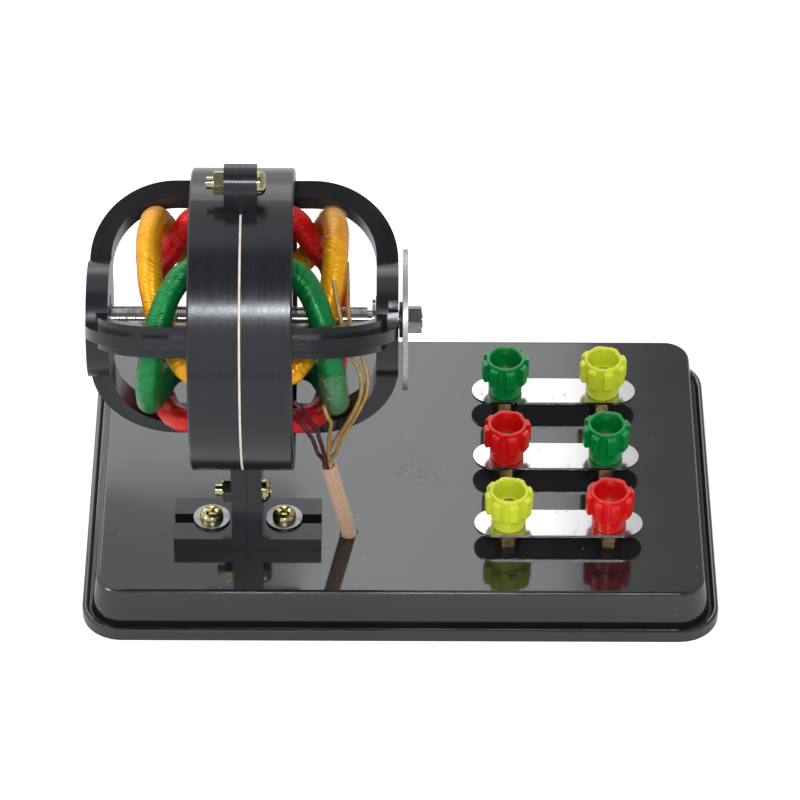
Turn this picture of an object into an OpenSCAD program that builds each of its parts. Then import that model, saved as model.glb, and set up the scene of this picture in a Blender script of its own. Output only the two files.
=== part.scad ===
// Three-phase demonstration motor on a moulded tray with a bank of link terminals.
// Origin: centre of the tray's underside, +X to the right, +Y to the back, +Z up.
// Motor pieces are drawn about the rotor's axis, which lies along X.

/* [Tray] */
// Length of the tray's flat top
tray_w = 200; // [195:1:230]
// Depth of the tray's flat top
tray_d = 128; // [122:1:150]
// Height of the tray
tray_h = 17; // [15:0.5:24]
// Wall of the moulding
tray_wall = 2.2; // [1.8:0.1:3]
// Corner radius of the flat top
tray_r = 8.5; // [6:0.5:12]
// How far the foot rim stands out past the top
rim_out = 5; // [4:0.2:7]
// Height of the foot rim
rim_h = 4.5; // [3.6:0.1:6]

/* [Motor place] */
// Motor centre across the tray
motor_x = -50.5; // [-56:0.5:-46]
// Motor centre from front to back
motor_y = -34; // [-38:0.5:-28]
// Height of the rotor's axis above the tray's top
axis_h = 91.5; // [90:0.5:100]

/* [Stator housing] */
// Outside radius of the housing ring
ring_r = 48.2; // [47:0.1:50]
// Wall of the housing ring
ring_wall = 4.2; // [3.6:0.1:5]
// Width of the whole housing ring
ring_w = 32.6; // [30:0.2:36]
// Inner radius of the ring's side lips
lip_r = 40; // [38.5:0.1:41]
// Thickness of the side lips
lip_t = 4; // [3:0.1:5]
// Thickness of the seam strip between the two halves
seam_t = 0.8; // [0.6:0.1:1.2]
// Thickness of each layer of a bearing arm, rib and band alike
arm_layer = 3.5; // [2.8:0.1:4]
// Width of an arm's outer rib
rib_w = 3.8; // [3:0.1:5]
// Width of an arm's inner band
band_w = 9.8; // [8.5:0.1:11]
// Outer bend radius of an arm
arm_bend = 27.3; // [24:0.1:28]
// How far the arms' outer face lies inside the ring's outside
arm_drop = 1.5; // [1.2:0.1:2.4]
// Length from the motor's centre to the outer face of a bearing hub
hub_x = 49.3; // [48:0.1:52]
// Radius of a bearing hub
hub_r = 18.5; // [17:0.1:20]
// Thickness of a bearing hub
hub_t = 7; // [6:0.1:8]

/* [Stand] */
// Width of the column, both halves
column_w = 10; // [9:0.2:12]
// Depth of the column and the foot
column_d = 20.2; // [18:0.2:22]
// Length of the foot, both halves
foot_w = 48.6; // [46:0.2:54]
// Thickness of the foot
foot_h = 5.3; // [4.5:0.1:6.5]
// Distance between the two foot screws
foot_pitch = 24; // [22:0.5:27]
// Height of the neck bolt above the tray's top
neck_h = 18; // [16:0.5:21]
// Width of the top clamp lug, both halves
lug_w = 10.3; // [9:0.1:12]
// Depth of the top clamp lug
lug_d = 12; // [11:0.2:13]
// Height of the clamp bolt above the ring
lug_bolt_h = 7; // [6.6:0.1:8]

/* [Core, coils and rotor] */
// Radius of the stator's bore
bore_r = 22.8; // [21.5:0.1:23]
// Angle of the first slot, from straight ahead and rising
slot_turn = 8; // [4:1:12]
// Diameter of a taped coil bundle
coil_d = 8.3; // [7:0.1:8.4]
// Radius at which the coils lie in their slots
coil_r = 32.5; // [32:0.1:33]
// How far a coil's inner end dips towards the shaft
coil_dip = 9.6; // [9.4:0.1:10]
// How far a coil's end turn stands out from its slot
coil_reach = 16; // [15.5:0.1:16.5]
// Air gap between rotor and stator
air_gap = 0.5; // [0.4:0.05:0.8]
// Shaft diameter
shaft_d = 8; // [7:0.1:9]
// Diameter of the shaft's journals
journal_d = 6; // [5.4:0.1:6.4]
// Diameter of the shaft's threaded end
tail_d = 5; // [4.5:0.1:5.3]
// Diameter of the flag disc on the shaft's end
disc_d = 45; // [40:0.5:50]
// Thickness of the flag disc
disc_t = 1.6; // [1.2:0.1:2.4]

/* [Terminals] */
// Centre of the terminal bank across the tray
bank_x = 52.2; // [48:0.5:55]
// Centre of the terminal bank from front to back
bank_y = -2.8; // [-6:0.2:4]
// Distance between the rows
row_pitch = 33.4; // [30:0.2:35]
// Distance between the two terminals of a row
post_pitch = 33.2; // [30:0.2:35]
// Length of a link plate past its two posts
link_over = 11.2; // [9:0.2:12]
// Width of a link plate
link_w = 12.5; // [11:0.1:13.5]
// Thickness of a link plate
link_t = 1; // [0.8:0.1:1.5]
// Height of the nut under a link plate
spacer_h = 5; // [4:0.1:6]
// Height of a terminal cap
cap_h = 14.5; // [13.5:0.1:16]
// Radius of a terminal cap's rim
cap_r = 6.4; // [6.2:0.1:6.8]
// Radius over a terminal cap's grip bars
grip_r = 8; // [7.6:0.1:8.6]
// Radius of the socket in a terminal cap
socket_r = 5.2; // [4.8:0.1:5.4]
// Diameter of the terminal studs
stud_d = 4; // [3.5:0.1:4.2]

/* [Fixings and leads] */
// Diameter of the clamp, neck and foot screws
screw_d = 4; // [3.5:0.1:4.2]
// Across the flats of the small hex nuts
nut_af = 7; // [6.6:0.1:7.4]
// Thickness of the small hex nuts
nut_t = 3.2; // [2.8:0.1:3.6]
// Diameter of the pan heads
head_d = 7.8; // [7:0.1:8.4]
// Height of the pan heads
head_t = 2.8; // [2.4:0.1:3.2]
// Diameter of the foot washers
washer_d = 12; // [10:0.1:12.6]
// Outside diameter of the braided lead sleeve
sleeve_d = 5.4; // [5:0.1:6]
// Diameter of a coil lead
lead_d = 1.4; // [1.2:0.05:1.4]
// Radial clearance of the rotor's running fits
run_fit = 0.04; // [0.02:0.01:0.08]
// Radial clearance of screws and studs in their holes
bolt_fit = 0.25; // [0.2:0.05:0.35]
// Seating gap between pieces that lie face to face
seat = 0.05; // [0.02:0.01:0.08]

/* [Hidden] */

// Bearing arms, from straight ahead and rising
arm_angles = [30, 150, 270];
fine = 96;
medium = 48;
small = 32;
overlap = 1;

motor_z = tray_h + axis_h;
half_w = ring_w / 2;
core_r = ring_r - ring_wall - 0.1;
core_half = half_w - lip_t - 0.1;
bush_r = journal_d / 2 + 2;
bush_bore = journal_d / 2 + run_fit;
rotor_r = bore_r - air_gap;
bar_r = 1.6;
bar_count = 12;
slot_w = coil_d + 0.9;
hole_r = screw_d / 2 + bolt_fit;
stud_hole_r = stud_d / 2 + bolt_fit;
shoulder_left = hub_x - hub_t - 0.4;
shoulder_right = hub_x - hub_t - 2.8;
thrust_t = 1;
thrust_x = hub_x - hub_t - 0.3 - thrust_t;
disc_washer_t = 1.1;
disc_washer_x = hub_x + 0.25;
disc_x = disc_washer_x + disc_washer_t + seat;
disc_nut_t = 4.4;
disc_nut_af = 8;
tail_x = disc_x + disc_t + seat + disc_nut_t + 0.3;
rib_t = 1.6;
rib_deep = 5;
rib_z = tray_h - tray_wall - rib_deep;
notch_w = 4;
notch_t = 3.2;
notch_angle = 53;
cap_floor = 6.6;
insert_r = 3.2;
insert_h = 6;
link_z = tray_h + spacer_h;
cap_z = link_z + link_t + seat;
slot_count = 6;
slot_step = 360 / slot_count;
yellow_bow = slot_turn + 1.5 * slot_step;
green_bow = slot_turn - 0.5 * slot_step;
red_bow = slot_turn + 3.5 * slot_step;
slot_end_x = 13.5;
end_rings = 18;
leg_rings = 3;
coil_sides = 12;
lead_sides = 8;
row_y = [bank_y + row_pitch, bank_y, bank_y - row_pitch];
post_x = [bank_x - post_pitch / 2, bank_x + post_pitch / 2];
// Both ends of the lead sleeve, from the motor's centre
sleeve_foot = [34.7, -1, -axis_h - tray_wall - 4];
sleeve_top = [26.8, -1, -61.5];
sleeve_len = norm(sleeve_top - sleeve_foot);
lead_spread = 1.4;
boss_t = 2.4;
boss_z = tray_h - tray_wall - boss_t;
washer_t = 0.8;
foot_top = tray_h + foot_h + seat;
collar_h = 5.6;
grip_z0 = collar_h + 0.3;
grip_z1 = cap_h - 1;
grip_w = 2.8;
black = [0.09, 0.09, 0.1];
steel = [0.72, 0.73, 0.75];
zinc = [0.8, 0.77, 0.6];
brass = [0.75, 0.6, 0.3];
green = [0.03, 0.5, 0.2];
yellow = [0.8, 0.82, 0.15];
red = [0.8, 0.08, 0.08];

// Routes of the coil leads, chosen by hand, from the motor's centre
dark_front_route = [[14.5, -32, -9.5], [16.3, -31, -12], [18.3, -26, -20], [21.2, -21.4, -30.6],
    [21.8, -14, -38.5], [22.9, -8.2, -48], [23.4, -3.9, -53.9]];
dark_back_route = [[16.1, -30.6, -8], [18.3, -29.6, -11.5], [20.5, -24.8, -19.5],
    [23.5, -20, -29.6], [23.9, -13.3, -38.2], [24.9, -7.8, -47.7], [25.4, -4.8, -54.1]];
amber_long_route = [[28.9, -13.5, 27.5], [30.1, -18, 22], [31.9, -23.5, 15.5], [34, -27, 8.5],
    [36.5, -24, 0.5], [37.7, -22, -7.5], [37.2, -20, -15.5], [35.1, -16.8, -24.5],
    [32.2, -12.6, -34.5], [29.4, -7, -44.5], [27.1, -2.4, -53.3]];
amber_back_route = [[33, 2.7, 21.5], [33.3, -4.7, 16], [33.7, -14, 13], [35.9, -21, 9],
    [38.5, -22, 1], [39.6, -20.4, -7], [39.3, -18.4, -15], [37.2, -15.4, -24.1],
    [34.2, -11.6, -34.3], [31.2, -7.2, -44.3], [29.4, -3.3, -53.6]];
amber_short_route = [[26, -31.9, -9.1], [26.9, -29.8, -15.2], [28, -25.5, -21.1],
    [27.6, -20.6, -29.5], [27.2, -15, -39.2], [26.9, -9.2, -48.5], [27.1, -5.6, -54]];

function unit(v) = v / norm(v);
function ramp(w, a, b) = min(1, max(0, (w - a) / (b - a)));
function coil_dip_at(w) = w < 45 ? pow(sin(2 * w), 2) : pow(cos(90 * ramp(w, 45, 126)), 2);
function coil_point(bow, w, side) =
    let (a = bow - 90 * cos(w), r = coil_r - coil_dip * coil_dip_at(w))
    [side * (slot_end_x + coil_reach * sin(w)), -r * cos(a), r * sin(a)];
function coil_path(bow) = concat(
    [for (i = [0:end_rings]) coil_point(bow, 180 * i / end_rings, 1)],
    [for (i = [1:leg_rings]) coil_leg(bow, 180, 1 - 2 * i / (leg_rings + 1))],
    [for (i = [0:end_rings]) coil_point(bow, 180 - 180 * i / end_rings, -1)],
    [for (i = [1:leg_rings]) coil_leg(bow, 0, 2 * i / (leg_rings + 1) - 1)]);
function coil_leg(bow, w, share) =
    let (p = coil_point(bow, w, 1)) [share * slot_end_x, p[1], p[2]];
// A frame across the path that turns with it: radial from the shaft, so the tube never twists
function radial_ring(path, i, r, sides, closed) =
    let (n = len(path), a = path[closed ? (i + n - 1) % n : max(0, i - 1)],
        b = path[closed ? (i + 1) % n : min(n - 1, i + 1)], t = unit(b - a),
        out = abs(t[0]) > 0.999 || closed ? [0, path[i][1], path[i][2]] : [0, 0, 1],
        u = unit(out - (out * t) * t), v = cross(t, u))
    [for (k = [0:sides - 1]) path[i] + r * (cos(360 * k / sides) * u + sin(360 * k / sides) * v)];
function lead_ring(path, i, r, sides) =
    let (n = len(path), t = unit(path[min(n - 1, i + 1)] - path[max(0, i - 1)]),
        out = [1, 0, 0], u = unit(out - (out * t) * t), v = cross(t, u))
    [for (k = [0:sides - 1]) path[i] + r * (cos(360 * k / sides) * u + sin(360 * k / sides) * v)];
// Smooth points through a hand-chosen route
function spline(p, i, s) =
    let (n = len(p), a = p[max(0, i - 1)], b = p[i], c = p[min(n - 1, i + 1)], d = p[min(n - 1, i + 2)])
    0.5 * (2 * b + (c - a) * s + (2 * a - 5 * b + 4 * c - d) * s * s
        + (3 * b - a - 3 * c + d) * s * s * s);
function smooth(p, steps) = concat(
    [for (i = [0:len(p) - 2]) for (s = [0:steps - 1]) spline(p, i, s / steps)], [p[len(p) - 1]]);
function sleeve_axis() = unit(sleeve_top - sleeve_foot);
// Where lead number k enters the sleeve's mouth, and the point just inside it
function mouth(k) =
    let (t = sleeve_axis(), u = unit([1, 0, 0] - ([1, 0, 0] * t) * t), v = cross(t, u))
    sleeve_top + lead_spread * (cos(72 * k + 162) * u + sin(72 * k + 162) * v);
function lead_path(route, k) =
    let (m = mouth(k), t = sleeve_axis())
    concat(smooth(concat(route, [m + 2.5 * t, m]), 3), [m - 6 * t]);

echo(coil_gap = min([for (i = [0:2:36]) for (j = [0:2:36])
    norm(coil_point(yellow_bow, 5 * i, 1) - coil_point(green_bow, 5 * j, 1))]) - coil_d);

module at_motor() translate([motor_x, motor_y, motor_z]) children();
module at_foot_screws() for (s = [-1, 1])
    translate([motor_x + s * foot_pitch / 2, motor_y, 0]) children();
module at_posts() for (x = post_x, y = row_y) translate([x, y, 0]) children();
module along_x() rotate([0, 90, 0]) children();
// Turns a piece drawn at the top so that it lies at an angle from straight ahead, rising
module around(a) rotate([90 - a, 0, 0]) children();
module rod(x0, x1, r, n = medium) translate([x0, 0, 0]) along_x() cylinder(h = x1 - x0, r = r, $fn = n);
module tube_x(x0, x1, r, r_in, n = medium) difference() {
    rod(x0, x1, r, n);
    rod(x0 - 1, x1 + 1, r_in, n);
}
module hex(af, h) cylinder(h = h, d = af / cos(30), $fn = 6);
module nut(af, h, bore) difference() {
    intersection() {
        hex(af, h);
        cylinder(h = h, r1 = af / 2 + h * 0.95, r2 = af / 2 + 0.1, $fn = small);
    }
    translate([0, 0, -1]) cylinder(h = h + 2, r = bore, $fn = small);
}
// Pan head on the +Z side of the origin, shank below it
module pan_screw(d, len, head, height) {
    rotate_extrude($fn = medium) polygon(concat(
        [[0, -len], [d / 2, -len], [d / 2, 0], [head / 2, 0], [head / 2, height * 0.25]],
        [for (a = [15:15:75]) [head / 2 - (1 - cos(a)) * head * 0.32, height * (0.25 + 0.75 * sin(a))]],
        [[0, height]]));
}
module cross_recess(height) translate([0, 0, height - 1.3]) for (a = [45, 135]) rotate([0, 0, a])
    translate([-2.4, -0.6, 0]) cube([4.8, 1.2, 2]);
module cross_screw(d, len, head, height) difference() {
    pan_screw(d, len, head, height);
    cross_recess(height);
}

// ---- Tray ----
// Edge of the moulding, drawn outwards from the centre of a corner: rounded top edge, drafted wall,
// groove and foot rim outside, and the same wall inside
module tray_edge() {
    foot = tray_r + 1.8;
    rim = tray_r + rim_out;
    edge = 1.4;
    polygon(concat(
        [[0, tray_h]],
        [for (a = [90:-18:0]) [tray_r - edge + edge * cos(a), tray_h - edge + edge * sin(a)]],
        [[foot, rim_h - 0.2], [foot + 0.3, rim_h - 1.1], [foot + 0.9, rim_h - 1.1]],
        [for (a = [135:-27:0]) [rim - 1 + cos(a), rim_h - 1 + sin(a)]],
        [[rim, 0], [rim - 1.8, 0], [rim - 1.8, rim_h - 2.4], [foot - tray_wall, rim_h - 2.4],
            [tray_r - tray_wall, tray_h - tray_wall], [0, tray_h - tray_wall]]));
}
module tray_shell() {
    cx = tray_w / 2 - tray_r;
    cy = tray_d / 2 - tray_r;
    for (c = [[cx, cy, 0], [-cx, cy, 90], [-cx, -cy, 180], [cx, -cy, 270]])
        translate([c[0], c[1], 0]) rotate([0, 0, c[2]]) rotate_extrude(angle = 90, $fn = fine) tray_edge();
    for (s = [-1, 1]) {
        translate([s * cx, s * cy, 0]) rotate([90, 0, s * 90 - 90])
            linear_extrude(height = 2 * cy) tray_edge();
        translate([-s * cx, s * cy, 0]) rotate([90, 0, s * 90])
            linear_extrude(height = 2 * cx) tray_edge();
    }
    translate([-cx, -cy, tray_h - tray_wall]) cube([2 * cx, 2 * cy, tray_wall]);
}
module boss() translate([0, 0, boss_z]) cylinder(h = boss_t + 0.6, r = 5.5, $fn = small);
module base_tray() color(black) difference() {
    union() {
        tray_shell();
        at_foot_screws() boss();
        at_posts() boss();
        for (x = [motor_x - foot_pitch, 0]) translate([x - rib_t / 2, -tray_d / 2 + 2, rib_z])
            cube([rib_t, tray_d - 4, rib_deep + 1]);
        translate([-tray_w / 2 + 2, bank_y + (row_pitch - rib_t) / 2, rib_z])
            cube([tray_w - 4, rib_t, rib_deep + 1]);
    }
    at_foot_screws() cylinder(h = tray_h + 1, r = hole_r, $fn = small);
    at_posts() cylinder(h = tray_h + 1, r = stud_hole_r, $fn = small);
    at_motor() sleeve_rod(sleeve_d / 2 + 0.3, -2, 20);
}

// ---- Housing ----
module ring_half() rotate([0, -90, 0]) rotate_extrude($fn = fine) polygon([
    [core_r + 0.1, seam_t / 2], [ring_r, seam_t / 2], [ring_r, half_w - 0.6], [ring_r - 0.6, half_w],
    [lip_r, half_w], [lip_r, half_w - lip_t], [core_r + 0.1, half_w - lip_t]]);
// One layer of an arm in the plane of the shaft: straight from the ring, bent, then down to the hub
module arm_layer_2d(r_in, r_out) {
    cx = -(hub_x - arm_bend);
    cy = ring_r - arm_drop - arm_bend;
    translate([cx, cy]) intersection() {
        difference() {
            circle(r = r_out, $fn = fine);
            circle(r = r_in, $fn = fine);
        }
        translate([-arm_bend - 1, 0]) square([arm_bend + 1, arm_bend + 1]);
    }
    translate([cx, cy + r_in]) square([-cx - half_w + 2.5, r_out - r_in]);
    translate([cx - r_out, hub_r - 8]) square([r_out - r_in, cy - hub_r + 8]);
}
module arm() rotate([90, 0, 0]) {
    linear_extrude(height = rib_w, center = true)
        arm_layer_2d(arm_bend - 1.5 * arm_layer, arm_bend);
    linear_extrude(height = band_w, center = true)
        arm_layer_2d(arm_bend - 2 * arm_layer, arm_bend - arm_layer);
}
module hub() {
    rod(-hub_x, -hub_x + hub_t, hub_r, fine);
    rod(-hub_x + hub_t - overlap, -hub_x + hub_t + 0.2, bush_r + 2.5);
}
module column_half() {
    z0 = -axis_h + seat;
    z1 = -sqrt(pow(ring_r, 2) - pow(column_d / 2, 2)) + 1.2;
    difference() {
        translate([-column_w / 2, -column_d / 2, z0]) cube([column_w / 2 - seat, column_d, z1 - z0]);
        translate([-column_w, 0, -axis_h + neck_h]) along_x()
            cylinder(h = 2 * column_w, r = hole_r, $fn = small);
    }
    translate([-column_w / 2 - 1.2, -4, -ring_r - 4]) cube([1.4, 8, 6]);
}
module lug_half() difference() {
    union() {
        translate([-lug_w / 2, -lug_d / 2, ring_r - 2.5]) cube([lug_w / 2 - seat, lug_d, lug_bolt_h + 2.5]);
        translate([-lug_w / 2, 0, ring_r + lug_bolt_h]) along_x()
            cylinder(h = lug_w / 2 - seat, d = lug_d, $fn = medium);
    }
    translate([-lug_w, 0, ring_r + lug_bolt_h]) along_x()
        cylinder(h = 2 * lug_w, r = hole_r, $fn = small);
}
module foot_slot() translate([-foot_w / 2 - 1, -hole_r, -axis_h - 1])
    cube([foot_w / 2 - foot_pitch / 2 + 1.6, 2 * hole_r, foot_h + 2]);
module foot_solid() difference() {
    translate([-foot_w / 2, -column_d / 2, -axis_h + seat])
        cube([foot_w / 2 - seat, column_d, foot_h - seat]);
    foot_slot();
    translate([-foot_pitch / 2 + 0.6, 0, -axis_h - 1]) cylinder(h = foot_h + 2, r = hole_r, $fn = small);
}
module half_housing() difference() {
    union() {
        ring_half();
        for (a = arm_angles) around(a) arm();
        hub();
        column_half();
        foot_solid();
        lug_half();
    }
    rod(-hub_x - 1, -hub_x + hub_t + 1, bush_r + seat);
    rod(-half_w + lip_t, 0, core_r + 0.1, fine);
}
module housing_left() color(black) at_motor() half_housing();
// The right hub has an oiling notch above the front arm
module housing_right() color(black) at_motor() difference() {
    mirror([1, 0, 0]) half_housing();
    around(notch_angle) translate([hub_x - notch_t, -notch_w / 2, 0])
        cube([notch_t + 1, notch_w, hub_r + 1]);
}
// Strip of card in the seam of the ring, open at the lug and the column
module seam_strip() color([0.93, 0.9, 0.78]) at_motor() difference() {
    tube_x(-seam_t / 2 + seat, seam_t / 2 - seat, ring_r - 0.15, core_r + 0.3, fine);
    translate([-1, -lug_d / 2 - 0.3, 0]) cube([2, lug_d + 0.6, ring_r + 1]);
    translate([-1, -column_d / 2 - 0.3, -ring_r - 1]) cube([2, column_d + 0.6, ring_r]);
}

// ---- Core and coils ----
module core_slot() {
    translate([-core_half - 1, -slot_w / 2, bore_r - 2])
        cube([2 * core_half + 2, slot_w, coil_r - bore_r + 2]);
    translate([0, 0, coil_r]) rod(-core_half - 1, core_half + 1, slot_w / 2, small);
}
module stator_core() color([0.35, 0.36, 0.38]) at_motor() difference() {
    rod(-core_half, core_half, core_r, fine);
    rod(-core_half - 1, core_half + 1, bore_r, fine);
    for (k = [0:slot_count - 1]) around(slot_turn + slot_step * k) core_slot();
}
module swept(rings, closed) {
    n = len(rings);
    m = len(rings[0]);
    last = closed ? n - 1 : n - 2;
    sides = [for (i = [0:last]) for (k = [0:m - 1]) for (h = [0, 1])
        h == 0 ? [i * m + k, i * m + (k + 1) % m, ((i + 1) % n) * m + (k + 1) % m]
            : [i * m + k, ((i + 1) % n) * m + (k + 1) % m, ((i + 1) % n) * m + k]];
    caps = closed ? [] : concat(
        [for (k = [1:m - 2]) [0, k + 1, k]],
        [for (k = [1:m - 2]) [(n - 1) * m, (n - 1) * m + k, (n - 1) * m + k + 1]]);
    polyhedron(points = [for (ring = rings) for (p = ring) p], faces = concat(sides, caps), convexity = 6);
}
module coil(bow) {
    path = coil_path(bow);
    rings = [for (i = [0:len(path) - 1]) radial_ring(path, i, coil_d / 2, coil_sides, true)];
    at_motor() swept(rings, true);
}
module coil_yellow() color([0.95, 0.68, 0.05]) coil(yellow_bow);
module coil_green() color(green) coil(green_bow);
module coil_red() color(red) coil(red_bow);

// ---- Bearings and rotor ----
module bush(side) at_motor() mirror([side < 0 ? 1 : 0, 0, 0])
    tube_x(hub_x - hub_t, hub_x, bush_r, bush_bore);
module bearing_bush_left() color(brass) bush(-1);
module bearing_bush_right() color(brass) bush(1);
module shaft() color(steel) at_motor() {
    rod(-shoulder_left, shoulder_right, shaft_d / 2);
    rod(-hub_x + 0.4, -shoulder_left + overlap, journal_d / 2);
    rod(shoulder_right - overlap, disc_washer_x, journal_d / 2);
    rod(disc_washer_x - overlap, tail_x, tail_d / 2);
}
// The rotor's cage bars, evenly round the core
module at_bars() for (k = [0:bar_count - 1]) rotate([360 / bar_count * k, 0, 0])
    translate([0, 0, rotor_r - 2 * bar_r]) children();
module rotor_core() color([0.45, 0.45, 0.47]) at_motor() difference() {
    tube_x(-core_half, core_half, rotor_r, shaft_d / 2 + seat, fine);
    at_bars() rod(-core_half - 1, core_half + 1, bar_r, small);
}
module rotor_cage() color([0.8, 0.81, 0.82]) at_motor() {
    for (s = [0, 1]) mirror([s, 0, 0])
        tube_x(core_half + seat, core_half + 3, rotor_r - 0.6, rotor_r - 7);
    at_bars() rod(-core_half - 1, core_half + 1, bar_r - seat, small);
}
module thrust_washer() color(steel) at_motor()
    tube_x(thrust_x, thrust_x + thrust_t, 6.5, journal_d / 2 + seat);
module disc_washer() color([0.2, 0.2, 0.2]) at_motor()
    tube_x(disc_washer_x + seat, disc_washer_x + disc_washer_t, 5.7, tail_d / 2 + seat);
module flag_disc() color([0.75, 0.75, 0.76]) at_motor()
    tube_x(disc_x, disc_x + disc_t, disc_d / 2, tail_d / 2 + seat, fine);
module disc_nut() color(steel) at_motor() translate([disc_x + disc_t + seat, 0, 0]) along_x()
    nut(disc_nut_af, disc_nut_t, tail_d / 2 + seat);

// ---- Fixings ----
// A bolt through both halves along X: pan head on the right, nut and thread end on the left
module cross_bolt(half, z) at_motor() translate([half + seat, 0, z]) along_x()
    cross_screw(screw_d, 2 * half + nut_t + 2.4, head_d, head_t);
module cross_nut(half, z) at_motor() translate([-half - seat, 0, z]) rotate([0, -90, 0])
    nut(nut_af, nut_t, screw_d / 2 + seat);
module clamp_bolt() color(zinc) cross_bolt(lug_w / 2, ring_r + lug_bolt_h);
module clamp_nut() color(zinc) cross_nut(lug_w / 2, ring_r + lug_bolt_h);
module neck_bolt() color(zinc) cross_bolt(column_w / 2, -axis_h + neck_h);
module neck_nut() color(zinc) cross_nut(column_w / 2, -axis_h + neck_h);
module foot_screws() color(zinc) at_foot_screws() translate([0, 0, foot_top + washer_t + seat])
    cross_screw(screw_d, foot_h + washer_t + tray_wall + boss_t + nut_t + 1.2, head_d, head_t);
module foot_washers() color(steel) at_foot_screws() translate([0, 0, foot_top]) difference() {
    cylinder(h = washer_t, d = washer_d, $fn = medium);
    translate([0, 0, -1]) cylinder(h = 3, r = hole_r, $fn = small);
}
module foot_nuts() color(zinc) at_foot_screws() translate([0, 0, boss_z - seat - nut_t])
    nut(nut_af, nut_t, screw_d / 2 + seat);

// ---- Leads ----
module sleeve_rod(r, from, to) {
    t = sleeve_axis();
    translate(sleeve_foot + from * t) rotate([0, acos(t[2]), atan2(t[1], t[0])])
        cylinder(h = to - from, r = r, $fn = small);
}
module lead_sleeve() color([0.85, 0.78, 0.68]) at_motor() difference() {
    sleeve_rod(sleeve_d / 2, 0, sleeve_len);
    sleeve_rod(sleeve_d / 2 - 0.5, -1, sleeve_len + 1);
}
module lead(route, k) {
    path = lead_path(route, k);
    at_motor() swept([for (i = [0:len(path) - 1]) lead_ring(path, i, lead_d / 2, lead_sides)], false);
}
module lead_dark_front() color([0.15, 0.08, 0.1]) lead(dark_front_route, 0);
module lead_dark_back() color([0.4, 0.15, 0.2]) lead(dark_back_route, 1);
module lead_amber_long() color([0.7, 0.5, 0.2]) lead(amber_long_route, 4);
module lead_amber_back() color([0.7, 0.5, 0.2]) lead(amber_back_route, 3);
module lead_amber_short() color([0.6, 0.4, 0.15]) lead(amber_short_route, 2);

// ---- Terminals ----
module terminal_studs() color(brass) at_posts() translate([0, 0, boss_z - nut_t - 1.5])
    cylinder(h = cap_z + cap_floor + 2.4 - boss_z + nut_t + 1.5, d = stud_d, $fn = small);
module stud_nuts() color(brass) at_posts() translate([0, 0, boss_z - seat - nut_t])
    nut(nut_af, nut_t, stud_d / 2 + seat);
module spacer_nuts() color(brass) at_posts() translate([0, 0, tray_h + seat]) difference() {
    hex(nut_af, spacer_h - 2 * seat);
    translate([0, 0, -1]) cylinder(h = spacer_h + 2, r = stud_d / 2 + seat, $fn = small);
}
module link_plate(y) color([0.9, 0.9, 0.91]) translate([bank_x, y, link_z]) linear_extrude(height = link_t)
    difference() {
        union() {
            square([post_pitch + 2 * link_over - link_w, link_w], center = true);
            for (s = [-1, 1]) translate([s * (post_pitch / 2 + link_over - link_w / 2), 0])
                circle(d = link_w, $fn = medium);
        }
        for (s = [-1, 1]) translate([s * post_pitch / 2, 0]) circle(r = stud_hole_r, $fn = small);
    }
module link_plate_back() link_plate(row_y[0]);
module link_plate_middle() link_plate(row_y[1]);
module link_plate_front() link_plate(row_y[2]);

// Collar, wider grip with eight bars, open socket with the stud's end in it
module cap_body() {
    collar = cap_r - 0.7;
    difference() {
        union() {
            rotate_extrude($fn = medium) polygon([[0, 0], [collar - 0.3, 0], [collar, 0.4],
                [collar + 0.1, collar_h - 0.6], [cap_r - 0.1, collar_h], [cap_r, cap_h - 0.4],
                [cap_r - 0.3, cap_h], [0, cap_h]]);
            intersection() {
                for (k = [0:3]) rotate([0, 0, 45 * k + 12]) translate([-grip_r - 1, -grip_w / 2, grip_z0])
                    cube([2 * grip_r + 2, grip_w, grip_z1 - grip_z0]);
                rotate_extrude($fn = medium) polygon([[0, grip_z0], [grip_r - 0.4, grip_z0],
                    [grip_r, grip_z0 + 0.8], [grip_r, grip_z1 - 0.7], [grip_r - 0.5, grip_z1],
                    [0, grip_z1]]);
            }
        }
        translate([0, 0, cap_floor]) cylinder(h = cap_h, r = socket_r, $fn = medium);
        translate([0, 0, cap_h - 0.5]) cylinder(h = 1, r1 = socket_r, r2 = socket_r + 0.8, $fn = medium);
        translate([0, 0, -1]) cylinder(h = insert_h + 1 + seat, r = insert_r + seat, $fn = small);
        cylinder(h = cap_h, r = stud_d / 2 + bolt_fit, $fn = small);
    }
}
module cap(col, row) translate([post_x[col], row_y[row], cap_z]) cap_body();
module insert(col, row) color(brass) translate([post_x[col], row_y[row], cap_z + seat]) difference() {
    cylinder(h = insert_h - seat, r = insert_r, $fn = small);
    translate([0, 0, -1]) cylinder(h = insert_h + 2, r = stud_d / 2 + run_fit, $fn = small);
}
module cap_back_green() color(green) cap(0, 0);
module cap_back_yellow() color(yellow) cap(1, 0);
module cap_middle_red() color(red) cap(0, 1);
module cap_middle_green() color(green) cap(1, 1);
module cap_front_yellow() color(yellow) cap(0, 2);
module cap_front_red() color(red) cap(1, 2);
module insert_back_green() insert(0, 0);
module insert_back_yellow() insert(1, 0);
module insert_middle_red() insert(0, 1);
module insert_middle_green() insert(1, 1);
module insert_front_yellow() insert(0, 2);
module insert_front_red() insert(1, 2);

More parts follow.
